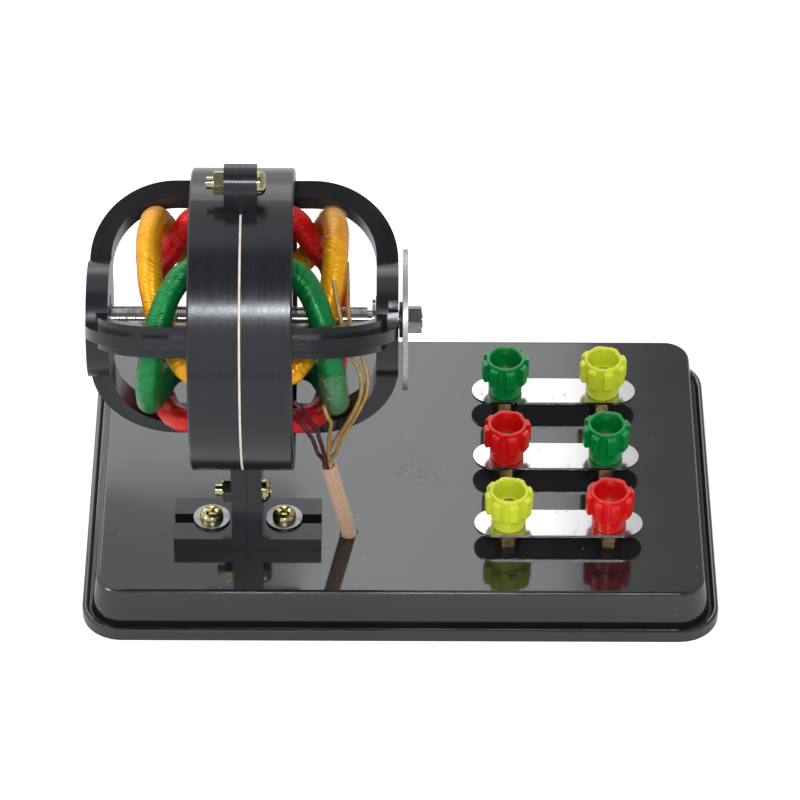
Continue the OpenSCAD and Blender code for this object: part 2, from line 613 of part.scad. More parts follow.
base_tray();
housing_left();
housing_right();
seam_strip();
stator_core();
coil_yellow();
coil_green();
coil_red();
bearing_bush_left();
bearing_bush_right();
clamp_bolt();
clamp_nut();
neck_bolt();
neck_nut();
foot_screws();
foot_washers();
foot_nuts();
lead_sleeve();
lead_dark_front();
lead_dark_back();
lead_amber_long();
lead_amber_back();
lead_amber_short();
shaft();
rotor_core();
rotor_cage();
thrust_washer();
disc_washer();
flag_disc();
disc_nut();
terminal_studs();
stud_nuts();
spacer_nuts();
link_plate_back();
link_plate_middle();
link_plate_front();
cap_back_green();
cap_back_yellow();
cap_middle_red();
cap_middle_green();
cap_front_yellow();
cap_front_red();
insert_back_green();
insert_back_yellow();
insert_middle_red();
insert_middle_green();
insert_front_yellow();
insert_front_red();
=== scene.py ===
# Demonstration motor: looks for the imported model. Everything is in metres, in the model's frame.
import math
from functools import partial

import bmesh
import bpy
from mathutils import Matrix, Vector, noise


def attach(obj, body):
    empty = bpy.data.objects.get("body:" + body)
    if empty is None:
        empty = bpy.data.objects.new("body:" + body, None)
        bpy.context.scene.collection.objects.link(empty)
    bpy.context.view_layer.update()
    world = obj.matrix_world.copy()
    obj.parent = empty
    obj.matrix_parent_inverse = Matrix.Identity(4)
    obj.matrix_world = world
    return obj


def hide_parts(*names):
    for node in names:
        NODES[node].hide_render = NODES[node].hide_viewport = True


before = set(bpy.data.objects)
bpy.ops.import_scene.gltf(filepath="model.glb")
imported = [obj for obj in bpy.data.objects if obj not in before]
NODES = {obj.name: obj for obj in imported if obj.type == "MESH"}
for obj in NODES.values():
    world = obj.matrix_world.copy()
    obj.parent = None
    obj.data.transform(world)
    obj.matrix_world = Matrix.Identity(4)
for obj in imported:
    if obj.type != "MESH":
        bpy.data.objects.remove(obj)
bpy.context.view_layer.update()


def placed(name, data):
    """A new object in the scene, at the origin."""
    made = bpy.data.objects.new(name, data)
    bpy.context.scene.collection.objects.link(made)
    return made


# ---- Camera, fitted to the photograph ----
AZ, EL, ROLL = math.radians(0.273), math.radians(41.0), math.radians(0.397)
DISTANCE = 1.5385
TARGET = Vector((-0.000303, 0.005747, 0.040))
FOCAL_PX = 4591.2
PICTURE_PX = 800
SENSOR_MM = 36


def add_camera():
    """Look at TARGET from the front and above, turned a little about the line of sight."""
    ahead = Vector((math.sin(AZ) * math.cos(EL), math.cos(AZ) * math.cos(EL), -math.sin(EL)))
    right = Vector((math.cos(AZ), -math.sin(AZ), 0))
    up = right.cross(ahead)
    turned_right = math.cos(ROLL) * right + math.sin(ROLL) * up
    turned_up = -math.sin(ROLL) * right + math.cos(ROLL) * up
    data = bpy.data.cameras.new("camera")
    data.sensor_width = SENSOR_MM
    data.lens = FOCAL_PX * SENSOR_MM / PICTURE_PX
    data.clip_end = 20
    camera = placed("camera", data)
    camera.matrix_world = Matrix.Translation(TARGET - DISTANCE * ahead) @ Matrix(
        (turned_right, turned_up, -ahead)).transposed().to_4x4()
    bpy.context.scene.camera = camera


add_camera()

# ---- Sizes, as in the model's source ----
# The shaft's axis at the middle of the ring
MOTOR = Vector((-0.0505, -0.034, 0.1085))
RING_SKIN = 0.0468
# Coils: radius of the slots, dip and reach of an end turn, half the core, radius of the tube
COIL_R = 0.0325
COIL_DIP = 0.0096
COIL_REACH = 0.016
SLOT_END = 0.0135
COIL_THICK = 0.00415
LEAD_R = 0.0007
SLEEVE_FOOT = MOTOR + Vector((0.0347, -0.001, -0.0977))
SLEEVE_TOP = MOTOR + Vector((0.0268, -0.001, -0.0615))
SLEEVE_R = 0.0027
SLEEVE_WALL = 0.0005
# Marks: the rubbed patch on the tray and the red stain on the disc's edge
RUBBED = (0.004, -0.004, 0.017)
STAIN = MOTOR + Vector((0.0547, -0.012, 0.0185))


# ---- Material helpers ----
def calculated(tree, operation, *values):
    """The output of a Math node that takes numbers or other nodes' outputs."""
    made = tree.nodes.new("ShaderNodeMath")
    made.operation = operation
    for slot, value in zip(made.inputs, values):
        if isinstance(value, (int, float)):
            slot.default_value = value
        else:
            tree.links.new(value, slot)
    return made.outputs[0]


class Finish:
    """A material whose nodes are added one by one; keywords set the shader's own sockets."""

    def __init__(self, name, **values):
        self.material = bpy.data.materials.new(name)
        self.material.use_nodes = True
        self.tree = self.material.node_tree
        self.shader = self.tree.nodes["Principled BSDF"]
        for key, value in values.items():
            self.shader.inputs[key.replace("_", " ")].default_value = value

    def node(self, kind, **settings):
        made = self.tree.nodes.new(kind)
        for key, value in settings.items():
            setattr(made, key, value)
        return made

    def link(self, out, into):
        self.tree.links.new(out, into)

    def place(self, scale, attribute=None):
        """Object coordinates in metres, or the piece's own attribute, stretched by scale."""
        if attribute:
            source = self.node("ShaderNodeAttribute", attribute_name=attribute).outputs["Vector"]
        else:
            source = self.node("ShaderNodeTexCoord").outputs["Object"]
        mapping = self.node("ShaderNodeMapping")
        mapping.inputs["Scale"].default_value = scale
        self.link(source, mapping.inputs["Vector"])
        return mapping.outputs["Vector"]

    def grain(self, scale, detail, roughness=0.55, attribute=None):
        """Noise, with scale as one number, or as one for each axis of the place."""
        if isinstance(scale, (int, float)):
            scale = (scale, scale, scale)
        place = self.place(scale, attribute)
        made = self.node("ShaderNodeTexNoise")
        made.inputs["Scale"].default_value = 1.0
        made.inputs["Detail"].default_value = detail
        made.inputs["Roughness"].default_value = roughness
        self.link(place, made.inputs["Vector"])
        return made.outputs["Fac"]

    def ramp(self, value, *stops):
        """A colour or grey ramp of (position, colour) stops."""
        made = self.node("ShaderNodeValToRGB")
        elements = made.color_ramp.elements
        while len(elements) < len(stops):
            elements.new(0.5)
        for element, (position, colour) in zip(elements, stops):
            element.position = position
            grey = not hasattr(colour, "__len__")
            element.color = (colour, colour, colour, 1) if grey else (*colour, 1)
        self.link(value, made.inputs["Fac"])
        return made.outputs["Color"]

    def bump(self, *layers):
        """Layers of (height, distance in metres, strength)."""
        normal = None
        for height, distance, strength in layers:
            made = self.node("ShaderNodeBump")
            made.inputs["Distance"].default_value = distance
            made.inputs["Strength"].default_value = strength
            self.link(height, made.inputs["Height"])
            if normal:
                self.link(normal, made.inputs["Normal"])
            normal = made.outputs["Normal"]
        self.link(normal, self.shader.inputs["Normal"])

    def drive(self, socket, value):
        """Feed the shader's socket from an output."""
        self.link(value, self.shader.inputs[socket])

    def mix(self, share, low, high):
        """Colour low where share is 0 and high where it is 1; each a colour or an output."""
        made = self.node("ShaderNodeMix", data_type="RGBA")
        self.link(share, made.inputs["Factor"])
        for slot, value in ((made.inputs["A"], low), (made.inputs["B"], high)):
            if hasattr(value, "__len__"):
                slot.default_value = (*value, 1)
            else:
                self.link(value, slot)
        return made.outputs["Result"]

    def maths(self, operation, *values):
        return calculated(self.tree, operation, *values)

    def near(self, spot, squash, inner, outer):
        """1 within inner metres of spot, falling to 0 at outer, measured after squash."""
        place = self.place(squash)
        gap = self.node("ShaderNodeVectorMath", operation="DISTANCE")
        self.link(place, gap.inputs[0])
        gap.inputs[1].default_value = [a * b for a, b in zip(spot, squash)]
        fall = self.node("ShaderNodeMapRange")
        limits = {"From Min": inner, "From Max": outer, "To Min": 1, "To Max": 0}
        for name, value in limits.items():
            fall.inputs[name].default_value = value
        self.link(gap.outputs["Value"], fall.inputs["Value"])
        return fall.outputs["Result"]


def tray_plastic():
    """Gloss black, with dust specks and a rubbed patch beside the motor."""
    finish = Finish("tray_plastic", Specular_IOR_Level=0.9, Specular_Tint=(0.93, 0.97, 1, 1))
    cloud = finish.grain(30, 3)
    base = finish.ramp(cloud, (0.3, (0.008, 0.008, 0.009)), (0.75, (0.013, 0.013, 0.014)))
    dust = finish.ramp(finish.grain(620, 1), (0.8, 0.0), (0.83, 1.0))
    swirl = finish.grain(120, 4, 0.6)
    line = finish.ramp(swirl, (0.488, 0.0), (0.5, 0.45), (0.512, 0.0))
    patch = finish.maths("MULTIPLY", line, finish.near(RUBBED, (1, 1, 1), 0.004, 0.017))
    finish.drive("Base Color", finish.mix(dust, base, (0.4, 0.4, 0.4)))
    rough = finish.ramp(cloud, (0.3, 0.06), (0.75, 0.1))
    finish.drive("Roughness", finish.mix(patch, rough, (0.6, 0.6, 0.6)))
    fine = finish.grain(900, 2)
    wavy = finish.grain(26, 1)
    finish.bump((wavy, 0.0003, 0.2), (fine, 0.00001, 0.2), (patch, 0.00002, 0.5))
    return finish.material


def housing_plastic():
    """Black moulding, turned lines round the rings' skin only, with a fine grain."""
    finish = Finish("housing_plastic", Specular_IOR_Level=0.5, Specular_Tint=(0.9, 0.95, 1, 1))
    core = finish.near(MOTOR, (0, 1, 1), RING_SKIN, RING_SKIN + 0.001)
    lines = finish.grain((1300, 12, 12), 3, 0.7)
    cloud = finish.grain(60, 3)
    plain = finish.ramp(cloud, (0.3, (0.009, 0.009, 0.011)), (0.75, (0.014, 0.015, 0.018)))
    turned = finish.ramp(lines, (0.3, (0.01, 0.01, 0.012)), (0.8, (0.014, 0.015, 0.019)))
    finish.drive("Base Color", finish.mix(core, turned, plain))
    smooth = finish.ramp(cloud, (0.3, 0.17), (0.75, 0.27))
    worn = finish.ramp(lines, (0.3, 0.18), (0.75, 0.24))
    finish.drive("Roughness", finish.mix(core, worn, smooth))
    speckle = finish.grain(1300, 2)
    finish.bump((cloud, 0.0002, 0.25), (speckle, 0.00003, 0.35))
    return finish.material


def cap_plastic(name, colour, dark):
    """Bright moulded plastic that light goes a little way into."""
    finish = Finish(name, Roughness=0.2, Specular_IOR_Level=0.5, Subsurface_Weight=0.15,
                    Subsurface_Scale=0.002, Subsurface_Radius=(1.0, 0.6, 0.3))
    cloud = finish.grain(220, 2)
    finish.drive("Base Color", finish.ramp(cloud, (0.3, dark), (0.7, colour)))
    orange_peel = finish.grain(500, 2)
    finish.bump((orange_peel, 0.0001, 0.3))
    return finish.material


def metal(name, colour, dull, roughness, grain=600, height=0.00003):
    """Metal worn dull in patches, with a grain of that many lines a metre and that height."""
    finish = Finish(name, Metallic=1.0)
    worn = finish.grain(180, 4)
    finish.drive("Base Color", finish.ramp(worn, (0.35, dull), (0.6, colour)))
    finish.drive("Roughness", finish.ramp(worn, (0.3, roughness + 0.14), (0.7, roughness)))
    finish.bump((finish.grain(grain, 3), height, 0.4))
    return finish.material


def disc_metal():
    """Dull pressed metal, with a trace of red on the upper outer edge."""
    finish = Finish("disc_metal", Metallic=1.0)
    worn = finish.grain(1100, 3, 0.6)
    grey = finish.ramp(worn, (0.3, (0.36, 0.36, 0.37)), (0.7, (0.52, 0.52, 0.53)))
    stain = finish.maths("MULTIPLY", finish.near(STAIN, (9, 1, 0.7), 0.004, 0.009), 0.6)
    finish.drive("Base Color", finish.mix(stain, grey, (0.4, 0.1, 0.12)))
    finish.drive("Roughness", finish.ramp(worn, (0.3, 0.5), (0.7, 0.36)))
    finish.bump((worn, 0.00012, 0.5))
    return finish.material


def zinc_plate():
    """Yellow-green passivated zinc."""
    finish = Finish("zinc_plate", Metallic=1.0, Roughness=0.12)
    tint = finish.grain(420, 2)
    finish.drive("Base Color", finish.ramp(
        tint, (0.3, (0.2, 0.27, 0.17)), (0.42, (0.6, 0.5, 0.2)), (0.55, (0.4, 0.42, 0.3)),
        (0.7, (0.4, 0.22, 0.12))))
    finish.bump((finish.grain(700, 2), 0.0001, 0.5))
    return finish.material


def link_strip():
    """Polished strip with fine marks."""
    finish = Finish("link_strip", Metallic=1.0)
    scratch = finish.grain((420, 150, 420), 6, 0.75)
    finish.drive("Base Color", finish.ramp(scratch, (0.26, 0.22), (0.33, 0.58), (1.0, 0.62)))
    finish.drive("Roughness", finish.ramp(scratch, (0.3, 0.4), (0.4, 0.16)))
    finish.bump((scratch, 0.00001, 0.2))
    return finish.material


def silk(name, colour, dark, light):
    """Fine thread wound across the tube: close lines of painted shade in the grooves between
    threads, soft bundles and bright glints.
    """
    finish = Finish(name, Specular_IOR_Level=0.5, Metallic=0.4)
    threads = finish.grain((1400, 190, 190), 2, 0.65, "wrap")
    bundles = finish.grain((500, 60, 60), 2, attribute="wrap")
    patches = finish.grain((140, 90, 90), 2, attribute="wrap")
    body = finish.mix(finish.ramp(bundles, (0.3, 0.0), (0.7, 0.45)), colour, light)
    # Painted shade: the colour turns towards dark in the grooves between threads, where the thread
    # bump is low
    painted_groove_shade = finish.ramp(threads, (0.32, 0.85), (0.48, 0.0))
    finish.drive("Base Color", finish.mix(painted_groove_shade, body, dark))
    finish.drive("Roughness", finish.ramp(patches, (0.3, 0.26), (0.7, 0.4)))
    finish.bump((bundles, 0.0003, 0.3), (threads, 0.00045, 1.0))
    return finish.material


def braid():
    """Woven sleeve: cream yarn in even lengthwise ribs, peach between them, crossed by knots."""
    finish = Finish("braid", Roughness=0.6, Sheen_Weight=0.2)
    strands = finish.grain((1500, 500, 500), 2, attribute="wrap")
    knit = finish.node("ShaderNodeAttribute", attribute_name="knit").outputs["Fac"]
    mottled = finish.maths("ADD", knit, finish.maths("MULTIPLY", strands, 0.5))
    finish.drive("Base Color", finish.ramp(
        mottled, (0.4, (0.38, 0.17, 0.1)), (0.65, (0.62, 0.38, 0.25)), (0.95, (0.8, 0.68, 0.52))))
    finish.bump((mottled, 0.00012, 0.6))
    return finish.material


def lead_plastic(name, colour, dark, transmission):
    """Smooth insulation, which may let light through."""
    finish = Finish(name, Roughness=0.16, Transmission_Weight=transmission, IOR=1.45)
    cloud = finish.grain(300, 2)
    finish.drive("Base Color", finish.ramp(cloud, (0.3, dark), (0.7, colour)))
    finish.bump((finish.grain(700, 2), 0.00004, 0.3))
    return finish.material


def film(name, tint, clear, cloudy, opaque):
    """Clear sticky tape; cloudy and opaque are how much it covers there."""
    finish = Finish(name, Roughness=0.06, IOR=1.5, Specular_IOR_Level=0.6)
    wrinkle = finish.grain((330, 330, 200), 4, 0.6)
    crease = finish.grain((90, 90, 160), 2)
    finish.drive("Base Color", finish.ramp(crease, (0.35, tint), (0.7, clear)))
    finish.drive("Alpha", finish.ramp(wrinkle, (0.4, cloudy * 0.5), (0.62, cloudy), (0.7, opaque)))
    finish.bump((crease, 0.0016, 0.8), (wrinkle, 0.0005, 0.6))
    return finish.material


def card():
    """Cream card with fibres."""
    finish = Finish("card", Roughness=0.7)
    fibre = finish.grain((600, 300, 300), 3)
    finish.drive("Base Color", finish.ramp(
        fibre, (0.3, (0.72, 0.66, 0.5)), (0.65, (0.88, 0.84, 0.7))))
    finish.bump((fibre, 0.0001, 0.4))
    return finish.material


TRAY = tray_plastic()
HOUSING = housing_plastic()
CHROME = metal("bright_steel", (0.42, 0.42, 0.42), (0.2, 0.2, 0.19), 0.1, (500, 90, 90), 0.00025)
STEEL = metal("plain_steel", (0.28, 0.28, 0.28), (0.17, 0.17, 0.16), 0.22)
DARK = metal("dark_steel", (0.1, 0.1, 0.11), (0.05, 0.05, 0.05), 0.35)
DISC = disc_metal()
SHEET = metal("sheet_steel", (0.27, 0.27, 0.28), (0.2, 0.19, 0.18), 0.4, (2600, 60, 60), 0.0001)
CAST = metal("cast_metal", (0.62, 0.62, 0.63), (0.42, 0.42, 0.42), 0.38)
BRASS = metal("terminal_brass", (0.5, 0.33, 0.15), (0.2, 0.11, 0.06), 0.3)
BUSH = metal("bush_metal", (0.5, 0.5, 0.49), (0.32, 0.31, 0.29), 0.25)
ZINC = zinc_plate()
LINK = link_strip()
CARD = card()
GREEN = cap_plastic("cap_green", (0.001, 0.3, 0.06), (0.001, 0.24, 0.045))
YELLOW = cap_plastic("cap_yellow", (0.78, 0.86, 0.055), (0.7, 0.78, 0.04))
RED = cap_plastic("cap_red", (0.8, 0.012, 0.01), (0.68, 0.009, 0.007))


def named(start):
    """The model's nodes whose names begin with start."""
    return [name for name in NODES if name.startswith(start)]


SURFACES = {
    TRAY: ["base_tray"], HOUSING: named("housing"), CARD: ["seam_strip"],
    SHEET: ["stator_core", "rotor_core"], CAST: ["rotor_cage"], BUSH: named("bearing_bush"),
    ZINC: ["clamp_bolt", "clamp_nut", "neck_bolt", "neck_nut", "foot_screws", "foot_nuts"],
    CHROME: ["shaft", "thrust_washer"], STEEL: ["foot_washers", "disc_nut"],
    DARK: ["disc_washer"], DISC: ["flag_disc"],
    BRASS: ["terminal_studs", "stud_nuts", "spacer_nuts"] + named("insert"),
    LINK: named("link_plate"),
    GREEN: ["cap_back_green", "cap_middle_green"],
    YELLOW: ["cap_back_yellow", "cap_front_yellow"],
    RED: ["cap_middle_red", "cap_front_red"],
}
for surface, names in SURFACES.items():
    for name in names:
        NODES[name].data.materials.clear()
        NODES[name].data.materials.append(surface)

# Moulded and pressed edges are slightly rounded; the sizes are the bevels' widths
EDGES = {
    0.0004: named("cap_") + named("housing"),
    0.0001: named("link_plate") + ["clamp_nut", "neck_nut", "disc_nut"],
}
for width, names in EDGES.items():
    for name in names:
        edge = NODES[name].modifiers.new("edge", "BEVEL")
        edge.width = width
        edge.segments = 2
        edge.limit_method = "ANGLE"
        edge.angle_limit = math.radians(50)


# ---- Wound tubes, made by Geometry Nodes ----
# How fine the swell is, and how much of the knit's shade comes from its threads
SWELL_SCALE = 130
KNIT_THREAD = 0.8
KNIT_DEPTH = 0.22
KNIT_MIDDLE = 0.4


def wound_tree():
    """A round tube along a curve, with fine threads across it, overlapping turns of tape,
    lengthwise ribs and a slow swell. The attribute wrap keeps the place along and around it,
    and knit the ribs crossed by the threads."""
    tree = bpy.data.node_groups.new("wound_tube", "GeometryNodeTree")
    face = tree.interface
    face.new_socket("Geometry", in_out="INPUT", socket_type="NodeSocketGeometry")
    for label, kind, value in (
            ("Radius", "NodeSocketFloat", 0.004), ("Sides", "NodeSocketInt", 28),
            ("Step", "NodeSocketFloat", 0.00025), ("Thread Pitch", "NodeSocketFloat", 0.0017),
            ("Thread Height", "NodeSocketFloat", 0.00002), ("Turn Pitch", "NodeSocketFloat", 0.019),
            ("Turn Height", "NodeSocketFloat", 0.00016), ("Slant", "NodeSocketFloat", 0.0022),
            ("Swell", "NodeSocketFloat", 0.0007), ("Seed", "NodeSocketFloat", 1.0),
            ("Ribs", "NodeSocketInt", 0), ("Rib Height", "NodeSocketFloat", 0.0)):
        face.new_socket(label, in_out="INPUT", socket_type=kind).default_value = value
    face.new_socket("Surface", in_out="INPUT", socket_type="NodeSocketMaterial")
    face.new_socket("Geometry", in_out="OUTPUT", socket_type="NodeSocketGeometry")
    nodes, link = tree.nodes, tree.links.new
    maths = partial(calculated, tree)
    size = nodes.new("NodeGroupInput")
    result = nodes.new("NodeGroupOutput")

    def capture(geometry, value):
        """Keep value on the points of geometry before the sweep."""
        made = nodes.new("GeometryNodeCaptureAttribute")
        made.domain = "POINT"
        made.capture_items.new("FLOAT", "value")
        link(geometry, made.inputs["Geometry"])
        link(value, made.inputs["value"])
        return made.outputs["Geometry"], made.outputs["value"]

    resample = nodes.new("GeometryNodeResampleCurve")
    resample.mode = "LENGTH"
    link(size.outputs["Geometry"], resample.inputs["Curve"])
    link(size.outputs["Step"], resample.inputs["Length"])
    along_curve = nodes.new("GeometryNodeSplineParameter")
    path, along = capture(resample.outputs["Curve"], along_curve.outputs["Length"])
    circle = nodes.new("GeometryNodeCurvePrimitiveCircle")
    link(size.outputs["Sides"], circle.inputs["Resolution"])
    link(size.outputs["Radius"], circle.inputs["Radius"])
    around_curve = nodes.new("GeometryNodeSplineParameter")
    profile, around = capture(circle.outputs["Curve"], around_curve.outputs["Factor"])
    sweep = nodes.new("GeometryNodeCurveToMesh")
    link(path, sweep.inputs["Curve"])
    link(profile, sweep.inputs["Profile Curve"])

    angle = maths("MULTIPLY", around, 2 * math.pi)
    cosine, sine = maths("COSINE", angle), maths("SINE", angle)
    shifted = maths("ADD", along, maths("MULTIPLY", cosine, size.outputs["Slant"]))
    turn = maths("MULTIPLY", maths("FRACT", maths("DIVIDE", shifted, size.outputs["Turn Pitch"])),
                 size.outputs["Turn Height"])
    phase = maths("MULTIPLY", maths("DIVIDE", shifted, size.outputs["Thread Pitch"]), 2 * math.pi)
    wave = maths("SINE", phase)
    thread = maths("MULTIPLY", wave, size.outputs["Thread Height"])
    ridge = maths("COSINE", maths("MULTIPLY", angle, size.outputs["Ribs"]))
    rib = maths("MULTIPLY", ridge, size.outputs["Rib Height"])
    blob = nodes.new("ShaderNodeTexNoise")
    blob.noise_dimensions = "4D"
    blob.inputs["Scale"].default_value = SWELL_SCALE
    blob.inputs["Detail"].default_value = 1
    link(size.outputs["Seed"], blob.inputs["W"])
    swell = maths("MULTIPLY", maths("SUBTRACT", blob.outputs["Fac"], 0.5), size.outputs["Swell"])
    height = maths("ADD", maths("ADD", turn, thread), maths("ADD", swell, rib))
    scaled = nodes.new("ShaderNodeVectorMath")
    scaled.operation = "SCALE"
    link(nodes.new("GeometryNodeInputNormal").outputs["Normal"], scaled.inputs[0])
    link(height, scaled.inputs["Scale"])
    move = nodes.new("GeometryNodeSetPosition")
    link(sweep.outputs["Mesh"], move.inputs["Geometry"])
    link(scaled.outputs["Vector"], move.inputs["Offset"])

    where = nodes.new("ShaderNodeCombineXYZ")
    link(shifted, where.inputs["X"])
    link(maths("MULTIPLY", cosine, size.outputs["Radius"]), where.inputs["Y"])
    link(maths("MULTIPLY", sine, size.outputs["Radius"]), where.inputs["Z"])
    store = nodes.new("GeometryNodeStoreNamedAttribute")
    store.data_type = "FLOAT_VECTOR"
    store.domain = "POINT"
    store.inputs["Name"].default_value = "wrap"
    link(move.outputs["Geometry"], store.inputs["Geometry"])
    link(where.outputs["Vector"], store.inputs["Value"])
    knit = nodes.new("GeometryNodeStoreNamedAttribute")
    knit.domain = "POINT"
    knit.inputs["Name"].default_value = "knit"
    link(store.outputs["Geometry"], knit.inputs["Geometry"])
    crossed = maths("ADD", ridge, maths("MULTIPLY", wave, KNIT_THREAD))
    shade = maths("ADD", maths("MULTIPLY", crossed, KNIT_DEPTH), KNIT_MIDDLE)
    link(shade, knit.inputs["Value"])
    smooth = nodes.new("GeometryNodeSetShadeSmooth")
    link(knit.outputs["Geometry"], smooth.inputs["Geometry"])
    realize = nodes.new("GeometryNodeRealizeInstances")
    link(smooth.outputs["Geometry"], realize.inputs["Geometry"])
    surface = nodes.new("GeometryNodeSetMaterial")
    link(realize.outputs["Geometry"], surface.inputs["Geometry"])
    link(size.outputs["Surface"], surface.inputs["Material"])
    link(surface.outputs["Geometry"], result.inputs["Geometry"])
    return tree


WOUND = wound_tree()


def curve_object(name, points, closed):
    """A line of straight parts through points."""
    data = bpy.data.curves.new(name, "CURVE")
    data.dimensions = "3D"
    data.twist_mode = "MINIMUM"
    spline = data.splines.new("POLY")
    spline.points.add(len(points) - 1)
    for point, place in zip(spline.points, points):
        point.co = (*place, 1)
    spline.use_cyclic_u = closed
    return placed(name, data)


def wound(name, points, closed, **values):
    """The realized mesh of a wound tube along points."""
    curve = curve_object(name + "_line", points, closed)
    modifier = curve.modifiers.new("wound", "NODES")
    modifier.node_group = WOUND
    for item in WOUND.interface.items_tree:
        if item.in_out == "INPUT" and item.name in values:
            modifier[item.identifier] = values[item.name]
    bpy.context.view_layer.update()
    graph = bpy.context.evaluated_depsgraph_get()
    mesh = bpy.data.meshes.new_from_object(curve.evaluated_get(graph))
    bpy.data.objects.remove(curve)
    outwards(mesh)
    return placed(name, mesh)


def outwards(mesh):
    """Turn the mesh's faces to point out."""
    work = bmesh.new()
    work.from_mesh(mesh)
    bmesh.ops.recalc_face_normals(work, faces=work.faces)
    work.to_mesh(mesh)
    work.free()


def thicken(piece, thickness):
    """Give a skin a wall on its inner side."""
    wall = piece.modifiers.new("wall", "SOLIDIFY")
    wall.thickness = thickness
    wall.offset = -1


def keep(piece, body, slot, *nodes):
    """Put the piece on its body, in place of the model's nodes; slot is not used."""
    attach(piece, body)
    if nodes:
        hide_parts(*nodes)


# ---- Coils ----
# Angles w run from 0 to 180 degrees along an end turn. Its radius dips most at DIP_AT, and the
# turns of tape add about COIL_SKIN to the tube
DIP_AT = 45
DIP_FADE = 81
COIL_SKIN = 0.00022


def dip_share(w):
    """How much of the full dip the end turn has at w: up to 1 at DIP_AT, then slowly back to 0."""
    if w < DIP_AT:
        return math.sin(math.radians(90 * w / DIP_AT)) ** 2
    return math.cos(math.radians(90 * min(1, max(0, (w - DIP_AT) / DIP_FADE)))) ** 2


def coil_point(bow, w, side):
    """A point of the coil centred on angle bow, on its right (side 1) or left (-1) end turn."""
    a = math.radians(bow - 90 * math.cos(math.radians(w)))
    r = COIL_R - COIL_DIP * dip_share(w)
    x = side * (SLOT_END + COIL_REACH * math.sin(math.radians(w)))
    return MOTOR + Vector((x, -r * math.cos(a), r * math.sin(a)))


def coil_path(bow):
    """The closed line through both end turns, straight in the slots."""
    steps = 72
    near = [coil_point(bow, 180 * i / steps, 1) for i in range(steps + 1)]
    far = [coil_point(bow, 180 - 180 * i / steps, -1) for i in range(steps + 1)]
    start = (far[-1] + near[0]) / 2
    return [start] + near + far


YELLOW_BOW, GREEN_BOW, RED_BOW = 98, -22, 218
COILS = {
    "yellow": (YELLOW_BOW, (0.92, 0.4, 0.002), (0.7, 0.24, 0.001), (0.96, 0.52, 0.01)),
    "green": (GREEN_BOW, (0.0, 0.21, 0.045), (0.0, 0.11, 0.022), (0.001, 0.28, 0.065)),
    "red": (RED_BOW, (0.7, 0.006, 0.008), (0.5, 0.003, 0.004), (0.85, 0.014, 0.014)),
}
for number, (colour, (bow, *threads)) in enumerate(COILS.items()):
    coil = wound("wound_coil_" + colour, coil_path(bow), True, Radius=COIL_THICK - COIL_SKIN,
                 Seed=3.7 * number, Surface=silk("silk_" + colour, *threads))
    keep(coil, "stand", colour + "_tape", "coil_" + colour)


# ---- Leads ----
# They enter the sleeve's mouth on a ring, LEAD_TURN degrees apart
LEAD_TURN = 72
LEAD_START = 162
LEAD_RING = 0.0014
LEAD_ABOVE = 0.0025
LEAD_INSIDE = 0.006


def spline_point(p, i, s):
    """The point at share s from p[i] to p[i + 1] on a smooth curve through all of p."""
    a, b = p[max(0, i - 1)], p[i]
    c, d = p[min(len(p) - 1, i + 1)], p[min(len(p) - 1, i + 2)]
    return 0.5 * (2 * b + (c - a) * s + (2 * a - 5 * b + 4 * c - d) * s ** 2
                  + (3 * b - a - 3 * c + d) * s ** 3)


def mouth(k):
    """Where lead number k enters the sleeve, and the sleeve's axis."""
    axis = (SLEEVE_TOP - SLEEVE_FOOT).normalized()
    across = Vector((1, 0, 0))
    across = (across - across.dot(axis) * axis).normalized()
    other = axis.cross(across)
    turn = math.radians(LEAD_TURN * k + LEAD_START)
    return SLEEVE_TOP + LEAD_RING * (math.cos(turn) * across + math.sin(turn) * other), axis


def lead_path(route, k):
    """A smooth line of under 40 points along the route, then straight into the sleeve."""
    end, axis = mouth(k)
    p = [MOTOR + Vector(q) / 1000 for q in route] + [end + LEAD_ABOVE * axis, end]
    steps = 4 if len(p) < 10 else 3
    smooth = [spline_point(p, i, s / steps) for i in range(len(p) - 1) for s in range(steps)]
    return smooth + [end, end - LEAD_INSIDE * axis]


def lead(node, k, surface, slot, route):
    """A coil's lead; its route is in millimetres from the motor's middle."""
    points = lead_path(route, k)
    length = sum((b - a).length for a, b in zip(points, points[1:]))
    piece = curve_object("fine_" + node, points, False)
    piece.data.bevel_depth = LEAD_R
    piece.data.bevel_resolution = 4
    piece.data.use_fill_caps = True
    piece.data.materials.append(surface)
    keep(piece, "stand", slot, node)
    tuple(points[0])


DARK_LEAD = lead_plastic("dark_lead", (0.13, 0.03, 0.05), (0.045, 0.016, 0.025), 0.0)
AMBER_LEAD = lead_plastic("amber_lead", (0.72, 0.48, 0.18), (0.5, 0.28, 0.08), 0.3)
lead("lead_dark_front", 0, DARK_LEAD, "lead_dark", [
    [14.5, -32, -9.5], [16.3, -31, -12], [18.3, -26, -20], [21.2, -21.4, -30.6],
    [21.8, -14, -38.5], [22.9, -8.2, -48], [23.4, -3.9, -53.9]])
lead("lead_dark_back", 1, DARK_LEAD, "lead_dark", [
    [16.1, -30.6, -8], [18.3, -29.6, -11.5], [20.5, -24.8, -19.5], [23.5, -20, -29.6],
    [23.9, -13.3, -38.2], [24.9, -7.8, -47.7], [25.4, -4.8, -54.1]])
lead("lead_amber_long", 4, AMBER_LEAD, "lead_amber", [
    [28.9, -13.5, 27.5], [30.1, -18, 22], [31.9, -23.5, 15.5], [34, -27, 8.5], [36.5, -24, 0.5],
    [37.7, -22, -7.5], [37.2, -20, -15.5], [35.1, -16.8, -24.5], [32.2, -12.6, -34.5],
    [29.4, -7, -44.5], [27.1, -2.4, -53.3]])
